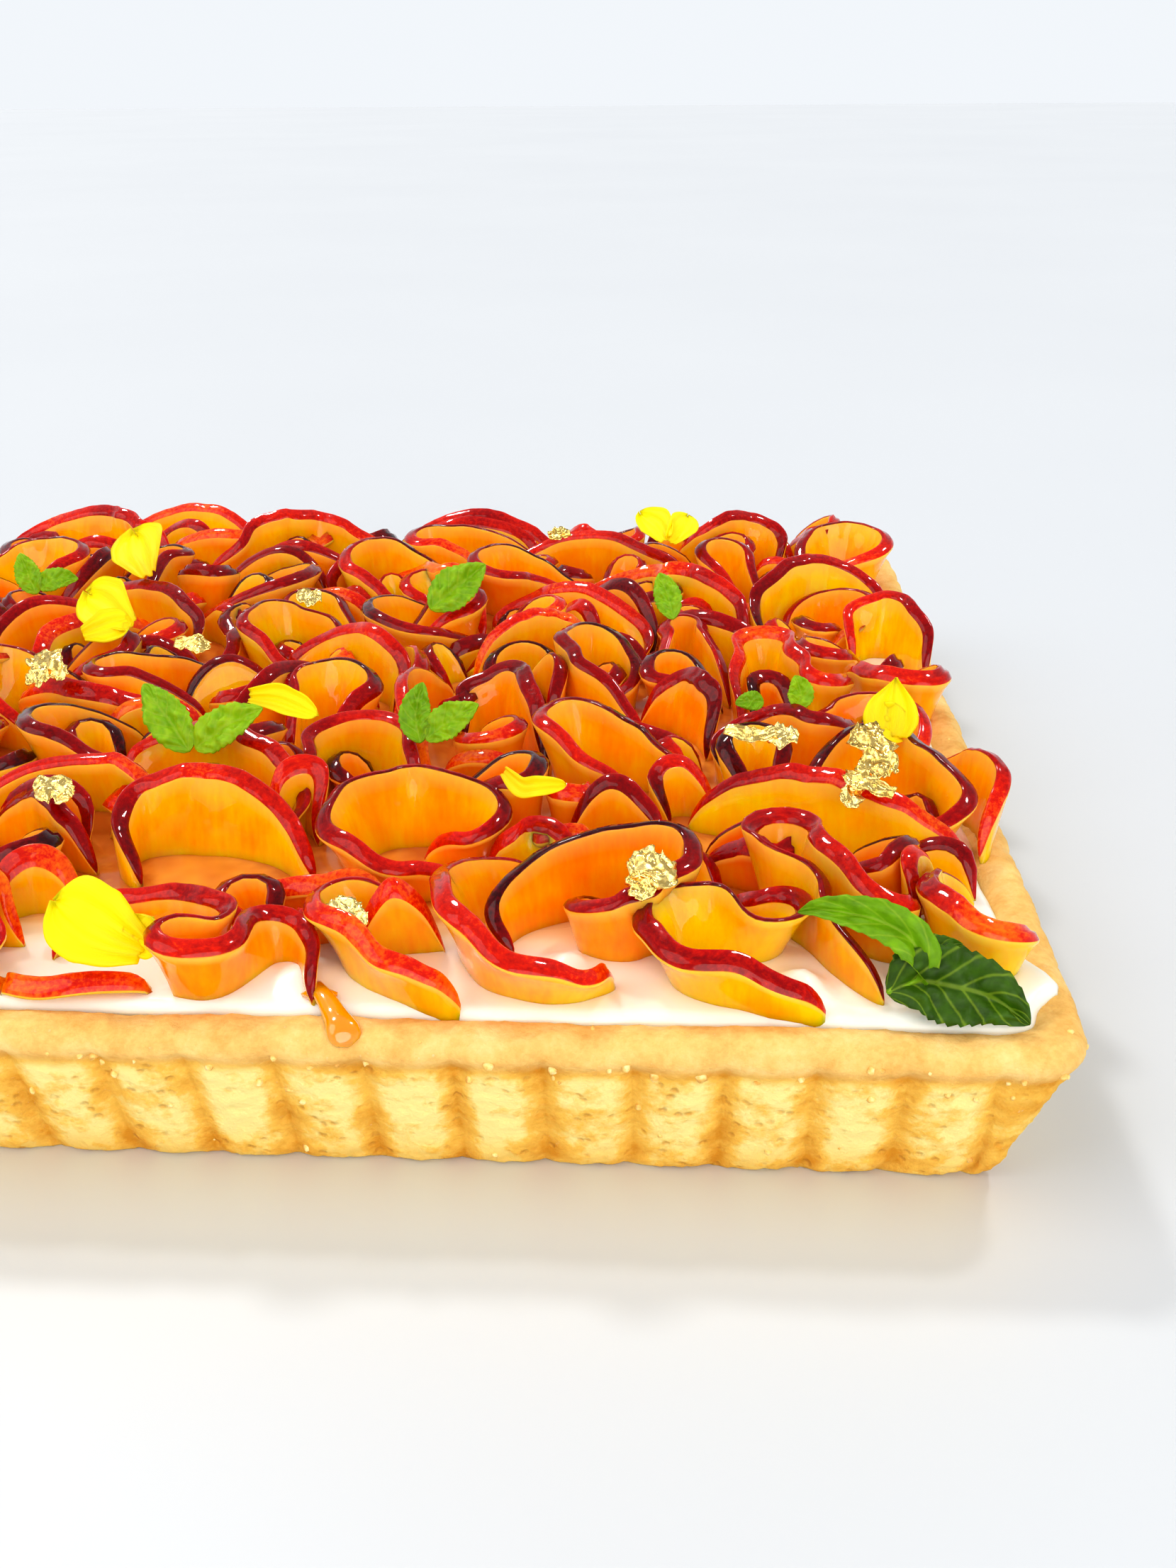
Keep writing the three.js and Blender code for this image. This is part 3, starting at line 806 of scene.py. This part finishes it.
# The skin's darkness is its own tone plus painted light and shade from the way it faces.
skin_colour = (dark * 0.85 + (speckle - 0.5) * 0.7 + (patch - 0.5) * 0.9 + 0.02).clamped().ramp(
    (0.0, (0.9, 0.17, 0.004)), (0.22, (0.62, 0.012, 0.001)), (0.5, (0.28, 0.0, 0.001)),
    (0.95, (0.035, 0.0, 0.002)),
)
height_map = fibres * 0.6 + speckle * 0.4
bumps = shade.node("Bump", None, {"Strength": 0.3, "Distance": 0.0004, "Height": height_map})
feed(shader, Base_Color=skin.mix(flesh_colour, skin_colour), Roughness=0.14 + fibres * 0.16, Normal=bumps)

for index, one in enumerate(large_slices):
    marks = slice_mesh(one, index)
    piece = new_piece(
        f"peach_curl_{index + 1:02d}", marks["vertices"], marks["faces"], peach_material,
        {label: marks[label] for label in slice_marks},
    )
    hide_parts(f"peach_slice_{index + 1:02d}")

small_marks = [slice_mesh(one, len(large_slices) + index) for index, one in enumerate(small_slices)]
joined("small_peach_slices", small_marks, peach_material, slice_marks)

# ---------------------------------------------------------------------------
# Cream. Thick ivory cream poured to the rim and smoothed with a spoon. It
# bulges over the rim's inner edge, most of all by the right front corner, and
# is stained by peach juice where the slices stand close. Well inside the tart,
# between the slices, it is painted dark orange as painted shade.
# ---------------------------------------------------------------------------

cream_rings = 74
cream_edge = 7.1
spill_place, spill_width = -95.0, 5.5
cream_stations = outline_stations(6, 8)
cream_points, juice = [], []

# Dabs of cream that well up between the slices in the front row: place, reach and height.
mounds = [
    (45, -97, 3.2, 2.8), (77, -101, 3.4, 3.2), (8, -100, 4.5, 1.6), (21, -100, 4.0, 1.4),
    (-33, -104, 4.0, 1.0),
]


def juice_and_shade_at(x, y):
    """How much the cream is stained by the peaches near a slice, with painted shade well inside the tart,
    between the slices.
    """
    near = np.hypot(taken[:, 0] - x, taken[:, 1] - y).min()
    # Painted shade grows well inside the tart, away from the front and the sides.
    inside = max(0.0, min(1.0, (min(half_side - abs(x), y + half_side) - 22.0) / 18.0))
    return max(0.0, 1 - near / 3.0) * (0.05 + 0.3 * inside) + 0.9 * inside


def cream_ring(inset, height):
    """Adds one ring of cream at an inset, with its waves, mounds and the spill."""
    xs, ys = lay_square(cream_stations, np.full(len(cream_stations), inset), 0.0)
    edge = max(0.0, 1 - (inset - cream_edge) / 9.0)
    for x, y in zip(xs, ys):
        spill = math.exp(-(((y - spill_place) / spill_width) ** 2)) if x > 90 else 0.0
        wave = 0.7 * rough((x, y, 0), 14.0, 7.0) + 0.35 * rough((x, y, 0), 5.0, 8.0)
        out = 1 + edge * (1.5 * wave + 4.2 * spill) / half_side
        lift = wave * 0.6 + spill * edge * 1.6
        for mound_x, mound_y, reach, rise in mounds:
            lift += rise * math.exp(-((x - mound_x) ** 2 + (y - mound_y) ** 2) / reach**2)
        lift = lift if height > 25.0 else 0.0
        cream_points.append((x * out, y * out, height + lift))
        juice.append(juice_and_shade_at(x, y) if inset > cream_edge + 1 else 0.0)


for inset, height in ((14.0, 8.0), (cream_edge + 1.6, 23.0), (cream_edge + 0.25, 25.6)):
    cream_ring(inset, height)
for turn in np.linspace(0.15, math.pi / 2, 6):
    cream_ring(cream_edge + 1.9 * (1 - math.cos(turn)) - 0.1, 25.9 + 1.9 * math.sin(turn))
for inset in np.linspace(cream_edge + 2.4, half_side - 4.0, cream_rings):
    cream_ring(inset, cream_top + 0.15)
cream_points += [(0, 0, 8.0), (0, 0, cream_top)]
juice += [0, 0.7]
ring_count = (len(cream_points) - 2) // len(cream_stations)

cream_material, shade, shader = new_material(
    "ivory_cream",
    Roughness=0.32, Subsurface_Weight=0.35, Subsurface_Scale=0.004, Subsurface_Radius=(1.0, 0.85, 0.6),
    Coat_Weight=0.25, Coat_Roughness=0.15,
)
place = shade.node("TexCoord", output="Object")
stain_and_shade = shade.attribute("juice")
swirl = shade.grain(place, 90.0, 2.0)
# Painted shade: cream well inside the tart, between the slices, turns dark orange; near a slice it is also a
# real stain.
cream_colour = (stain_and_shade * (0.6 + swirl * 0.8)).clamped().ramp(
    (0.0, (0.94, 0.94, 0.83)), (0.35, (0.97, 0.76, 0.40)), (0.75, (0.92, 0.40, 0.05)),
    (1.0, (0.62, 0.18, 0.02)),
)
bumps = shade.node("Bump", None, {"Strength": 0.25, "Distance": 0.0006, "Height": swirl})
feed(shader, Base_Color=cream_colour, Normal=bumps, Roughness=0.36 - stain_and_shade * 0.2)
cream = new_piece(
    "cream_filling", cream_points, ring_faces(ring_count, len(cream_stations)), cream_material,
    {"juice": juice},
)
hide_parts("cream")

# ---------------------------------------------------------------------------
# Glaze. Apricot glaze is brushed over the fruit while hot. A little of it ran
# out between two slices and over the rim at the front, where it set.
# ---------------------------------------------------------------------------


def thin_sheet(spine, side, half_width, relief, thickness, tint=0.5, rows=22, columns=11):
    """A thin closed sheet along a spine, with a relief, and its places along and across."""
    line = even_steps(spine, rows)
    ahead = np.gradient(line, axis=0)
    ahead /= np.linalg.norm(ahead, axis=1)[:, None]
    beside = np.array(side, float) - ahead * (ahead @ np.array(side, float))[:, None]
    beside /= np.linalg.norm(beside, axis=1)[:, None]
    above = np.cross(ahead, beside)
    vertices, along, across = [], [], []
    for layer in (0, 1):
        for row in range(rows):
            u = row / (rows - 1)
            for column in range(columns):
                v = 2 * column / (columns - 1) - 1
                lift = relief(u, v) - layer * thickness
                vertices.append(line[row] + beside[row] * v * half_width(u, v) + above[row] * lift)
                along.append(u)
                across.append(v)
    faces = []
    under = rows * columns
    for row in range(rows - 1):
        for column in range(columns - 1):
            here = row * columns + column
            quad = (here, here + columns, here + columns + 1, here + 1)
            faces.append(quad)
            faces.append(tuple(under + corner for corner in reversed(quad)))
    rim = list(range(columns))
    rim += [row * columns + columns - 1 for row in range(1, rows)]
    rim += [(rows - 1) * columns + column for column in range(columns - 2, -1, -1)]
    rim += [row * columns for row in range(rows - 2, 0, -1)]
    for here, after in zip(rim, rim[1:] + rim[:1]):
        faces.append((here, after, under + after, under + here))
    return {"vertices": np.array(vertices), "faces": faces, "along": np.array(along),
            "across": np.array(across), "tint": np.full(len(vertices), tint)}


glaze_material, shade, shader = new_material(
    "apricot_glaze",
    Roughness=0.15, Subsurface_Weight=0.6, Subsurface_Scale=0.003, Subsurface_Radius=(1.0, 0.4, 0.05),
    Coat_Weight=1.0, Coat_Roughness=0.02,
)
glaze_cloud = shade.grain(shade.node("TexCoord", output="Object"), 260.0)
feed(shader, Base_Color=glaze_cloud.mix((1.0, 0.26, 0.0), (1.0, 0.38, 0.0)))

run_way = [
    (10.5, -104, 29.0), (12.5, -107, 29.2), (14.5, -110, 28.4), (16, -112.6, 28.0), (17.2, -114.4, 26.2),
]
pool_way = [(9, -105.5, 28.6), (11, -106, 29.1), (14, -105.5, 28.7)]


def run_width(u, v):
    return (1.2 + 1.5 * u * u) * math.sqrt(1.01 - max(0.0, (u - 0.8) / 0.2) ** 2)


def run_relief(u, v):
    return 0.8 * math.sqrt(max(0.0, 1 - v * v)) * (0.7 + 0.6 * u) * (1 - u**10)


def pool_width(u, v):
    return 0.2 + 0.9 * math.sin(math.pi * u)


def pool_relief(u, v):
    return 0.5 * math.sqrt(max(0.0, 1 - v * v)) * math.sin(math.pi * u)


glaze_runs = [
    thin_sheet(run_way, (1, 0.4, 0), run_width, run_relief, 0.6),
    thin_sheet(pool_way, (0, 1, 0), pool_width, pool_relief, 0.5),
]
joined("glaze_run", glaze_runs, glaze_material)

# ---------------------------------------------------------------------------
# Mint. Small fresh tips of mint, two leaves to a tip, toothed and puckered
# between their veins, and one larger dark leaf by the right front corner.
# ---------------------------------------------------------------------------

# Each leaf: how dark it is, its width, how much it is folded and its way from stalk to tip.
mint_leaves = [
    (0.35, 5.0, 0.9, [(88, -106, 31), (92, -104.5, 34.5), (91, -103, 37.6), (87, -101, 39.2), (81, -99, 39.4),
                      (76.5, -97, 38)]),
    (0.9, 9.5, 0.35, [(88, -106, 31), (92, -105.5, 32.6), (97, -105.6, 32), (102, -107, 31.2),
                      (106.5, -109, 28.6)]),
    (0.75, 6.0, 0.5, [(89, -105.5, 31), (92, -103, 33.4), (95.5, -101, 34.6), (98.5, -100.5, 35.5)]),
    (0.2, 6.5, 0.3, [(-23, -45, 37.5), (-27, -42, 42), (-32, -38, 47)]),
    (0.1, 6.5, 0.4, [(-22, -45, 38), (-17, -44, 41.5), (-10.5, -42, 44.5)]),
    (0.3, 5.0, 0.5, [(16, -41, 38), (15, -38, 42), (16, -35, 46.8)]),
    (0.15, 5.5, 0.3, [(17, -41, 38.5), (20, -40, 41), (26, -39, 44.5)]),
    (0.2, 5.0, 0.4, [(-80, 35, 39), (-82, 37, 43), (-84, 39, 47)]),
    (0.2, 4.5, 0.4, [(-79, 35, 40), (-76, 36, 42), (-71, 37, 42)]),
    (0.2, 8.0, 0.3, [(8, 26, 39.5), (13, 30, 43), (19, 34, 47)]),
    (0.2, 5.0, 0.4, [(59, 20, 40), (58, 24, 43), (56, 29, 47)]),
    (0.15, 4.0, 0.4, [(81, -30, 40.5), (81.5, -28, 43), (80.5, -26, 45.5)]),
    (0.3, 3.0, 0.3, [(75, -30, 42), (72, -31, 42.5), (70, -31, 42)]),
]


def mint_leaf(tint, width, fold, way):
    """One leaf with a toothed edge, folded along its middle and puckered between its veins."""
    seed = draw.uniform(0, 100)
    teeth = 11

    def half_width(u, v):
        blade = math.sin(math.pi * min(1.0, max(0.0, u)) ** 0.8) ** 0.75
        tooth = 1 + 0.13 * (1 - (u * teeth) % 1.0) * abs(v) ** 3
        return 0.12 + 0.5 * width * blade * tooth

    def relief(u, v):
        vein = (u * 6.0 - abs(v) * 1.5) % 1.0
        pucker = math.sin(math.pi * vein) * (1 - abs(v) ** 3) * min(1.0, abs(v) * 4)
        crease = rough((u * 7, v * 2.5, 0.0), 1.2, seed) + 0.6 * rough((u * 16, v * 5, 0.0), 1.2, seed)
        edge = 1 - (2 * u - 1) ** 4
        return (fold * abs(v) * 0.5 * width * 0.8 + 0.09 * width * pucker + 0.15 * width * crease) * edge

    ahead = np.array(way[-1], float) - np.array(way[0], float)
    side = np.cross((0.0, -0.8, 0.6), ahead)
    side[2] += draw.uniform(-0.2, 0.2) * np.linalg.norm(side)
    return thin_sheet(way, side, half_width, relief, 0.3, tint, 45, 17)


mint_material, shade, shader = new_material(
    "fresh_mint", Roughness=0.5, Subsurface_Weight=0.25, Subsurface_Scale=0.001,
    Subsurface_Radius=(0.6, 1.0, 0.1), Specular_IOR_Level=0.25,
)
along = shade.attribute("along")
across = shade.attribute("across")
tint = shade.attribute("tint")
leaf_place = shade.node("TexCoord", output="Object")
leaf_cloud = shade.grain(leaf_place, 420.0, 4.0)
beside = across.maths("ABSOLUTE", across)
vein_place = along * 6.0 - beside * 1.5
side_vein = vein_place.maths("FRACT", vein_place)
vein_line = (1 - side_vein.between(0.0, 0.14)) + side_vein.between(0.88, 1.0)
vein_line = vein_line + (1 - beside.between(0.02, 0.1))
leaf_colour = (tint * 0.8 + leaf_cloud * 0.5 - 0.1).clamped().ramp(
    (0.0, (0.44, 0.62, 0.003)), (0.35, (0.2, 0.40, 0.002)), (0.7, (0.06, 0.15, 0.001)),
    (1.0, (0.02, 0.055, 0.0)),
)
leaf_colour = (vein_line.clamped() * 0.35).mix(leaf_colour, (0.38, 0.52, 0.03))
bumps = shade.node("Bump", None, {"Strength": 0.5, "Distance": 0.0003, "Height": leaf_cloud})
feed(shader, Base_Color=leaf_colour, Normal=bumps)
joined("mint_leaves", [mint_leaf(*leaf) for leaf in mint_leaves], mint_material,
       ("along", "across", "tint"))

# ---------------------------------------------------------------------------
# Petals. Yellow flower petals, pulled off and strewn over the fruit. They are
# thin and a little crinkled, with fine lines that run to the tip.
# ---------------------------------------------------------------------------

# Each petal: its width, how pointed its tip is from 0 to 1 and its way from foot to tip.
petals = [
    (11.5, 0.0, [(-13, -103, 33.5), (-17, -103.6, 36), (-21, -103, 38.4), (-25, -101, 39.6)]),
    (7.0, 0.1, [(-15, -102, 34), (-13, -102.6, 35.5), (-11.5, -102, 38)]),
    (3.4, 0.3, [(33, -64, 43.4), (36, -68, 42.6), (39, -70, 43.8), (43, -69, 43.6)]),
    (9.0, 1.0, [(95, -43.5, 41.5), (95.3, -42, 45), (96, -39.5, 50.5)]),
    (7.0, 0.4, [(98, -42, 42), (95, -42.4, 43.4), (91, -41, 44.6)]),
    (5.0, 0.3, [(-14, -37, 44.5), (-8, -39, 45), (-1, -42, 43.2)]),
    (13.0, 0.1, [(-56, 40, 42), (-60, 48, 45), (-64, 57, 46.4)]),
    (11.0, 0.0, [(-49, 6, 42), (-55, 11, 44.4), (-61, 17, 45)]),
    (7.0, 0.2, [(-58, 3, 41), (-54, 5, 42), (-50, 8, 43)]),
    (8.0, 0.3, [(57, 66, 43.4), (55, 71, 45.6), (51, 76, 46.8)]),
    (7.0, 0.2, [(58, 66, 43), (61, 70, 45.8), (62, 75, 46.6)]),
    (5.0, 0.2, [(-86, -22, 42), (-88, -17, 44), (-86, -12, 44.6)]),
]


def petal(width, point, way):
    """One petal with a rippled face, round or pointed at its tip."""
    seed = draw.uniform(0, 100)

    def half_width(u, v):
        round_tip = math.sqrt(max(0.0, 1 - max(0.0, (u - 0.55) / 0.45) ** 2.4)) * min(1.0, 0.35 + u * 1.3)
        sharp_tip = math.sin(math.pi * min(1.0, 0.25 + 0.75 * u)) ** 1.2
        wave = 1 + 0.1 * rough((u * 4, v, 0.0), 1.0, seed)
        return 0.1 + 0.5 * width * ((1 - point) * round_tip + point * sharp_tip) * wave

    def relief(u, v):
        ripple = 0.05 * rough((v * 7, u * 1.5, 0.0), 1.0, seed) * width
        return 0.12 * width * v * v + ripple + 0.03 * width * math.sin(v * 9 + seed)

    ahead = np.array(way[-1], float) - np.array(way[0], float)
    side = np.cross((0.0, -0.85, 0.5), ahead)
    return thin_sheet(way, side, half_width, relief, 0.22, draw.random(), 26, 17)


petal_material, shade, shader = new_material(
    "yellow_petal", Roughness=0.5, Subsurface_Weight=0.4, Subsurface_Scale=0.001,
    Subsurface_Radius=(1.0, 0.9, 0.1), Specular_IOR_Level=0.2,
)
along = shade.attribute("along")
across = shade.attribute("across")
lines = shade.grain(shade.node("CombineXYZ", None, {"X": along * 1.5, "Y": across * 9.0}), 2.4, 2.0)
tint = shade.attribute("tint")
petal_colour = (along * 0.5 + lines * 0.6 + tint * 0.3 - 0.15).clamped().ramp(
    (0.0, (1.0, 0.52, 0.0)), (0.45, (1.0, 0.74, 0.0)), (1.0, (1.0, 0.9, 0.004))
)
bumps = shade.node("Bump", None, {"Strength": 0.35, "Distance": 0.0003, "Height": lines})
feed(shader, Base_Color=petal_colour, Normal=bumps)
joined("flower_petals", [petal(*one) for one in petals], petal_material,
       ("along", "across", "tint"))

# ---------------------------------------------------------------------------
# Gold leaf. Torn flakes of edible gold, crumpled by the tweezers that put them
# down. They cling to the wet glaze on top of the skins.
# ---------------------------------------------------------------------------

# Each flake: its width and the way it lies.
gold_flakes = [
    (4.5, [(12.5, -97, 38.6), (14.5, -99.5, 37.6), (17, -101, 36)]),
    (4.0, [(-39, -72, 42.4), (-36, -71, 42.6), (-33, -72, 41.6)]),
    (5.0, [(53.5, -92, 43.4), (57, -94, 42.4), (60, -93, 41.6)]),
    (3.5, [(54, -94, 42), (56, -97.5, 40)]),
    (3.6, [(86, -62, 43), (88.5, -65, 43.2), (93, -67, 42)]),
    (2.6, [(87, -64.5, 42.6), (86.5, -68, 40)]),
    (2.6, [(67.5, -48, 44), (72, -49.5, 44.2), (76, -49, 44.6)]),
    (3.4, [(74, -49, 44.4), (79.5, -50, 43.6)]),
    (7.5, [(90, -48, 45.6), (91, -52, 43.6), (93.5, -58, 41)]),
    (5.5, [(-61, -15, 43), (-57, -18, 43), (-53, -22, 41.4)]),
    (4.0, [(-60, -20, 42), (-56, -22, 41)]),
    (3.2, [(-36, -8, 43.6), (-32, -8.5, 44), (-29, -8, 43)]),
    (3.6, [(-18, 17, 45), (-13, 18, 44.6)]),
    (3.0, [(-74, -38, 42), (-70, -40, 42.6)]),
    (3.6, [(30, 64, 45), (35, 66, 45)]),
]


def gold_flake(width, way):
    """One flake with a torn edge and sharp folds."""
    seed = draw.uniform(0, 100)

    def half_width(u, v):
        torn = 1 + 0.7 * rough((u * 4, v, 0.0), 1.0, seed) + 0.35 * rough((u * 11, v, 0.0), 1.0, seed)
        return 0.15 + 0.5 * width * math.sin(math.pi * (0.1 + 0.8 * u)) ** 0.6 * torn

    def relief(u, v):
        folds = abs(rough((u * 4, v * 2, 0.0), 1.0, seed)) + 0.5 * abs(rough((u * 9, v * 5, 0.0), 1.0, seed))
        return 0.24 * width * (folds - 0.25)

    ahead = np.array(way[-1], float) - np.array(way[0], float)
    side = np.cross((0.0, -0.6, 0.8), ahead)
    return thin_sheet(way, side, half_width, relief, 0.12, draw.random(), 24, 15)


gold_material, shade, shader = new_material("gold_leaf", Metallic=1.0, Roughness=0.22)
wrinkles = shade.grain(shade.node("TexCoord", output="Object"), 900.0, 4.0)
bumps = shade.node("Bump", None, {"Strength": 0.45, "Distance": 0.0004, "Height": wrinkles})
tint = shade.attribute("tint")
gold_colour = (wrinkles + tint * 0.3 - 0.15).clamped().mix((0.95, 0.56, 0.06), (1.0, 0.86, 0.42))
feed(shader, Base_Color=gold_colour, Normal=bumps)
joined("gold_leaf_flakes", [gold_flake(*flake) for flake in gold_flakes], gold_material,
       ("tint",))
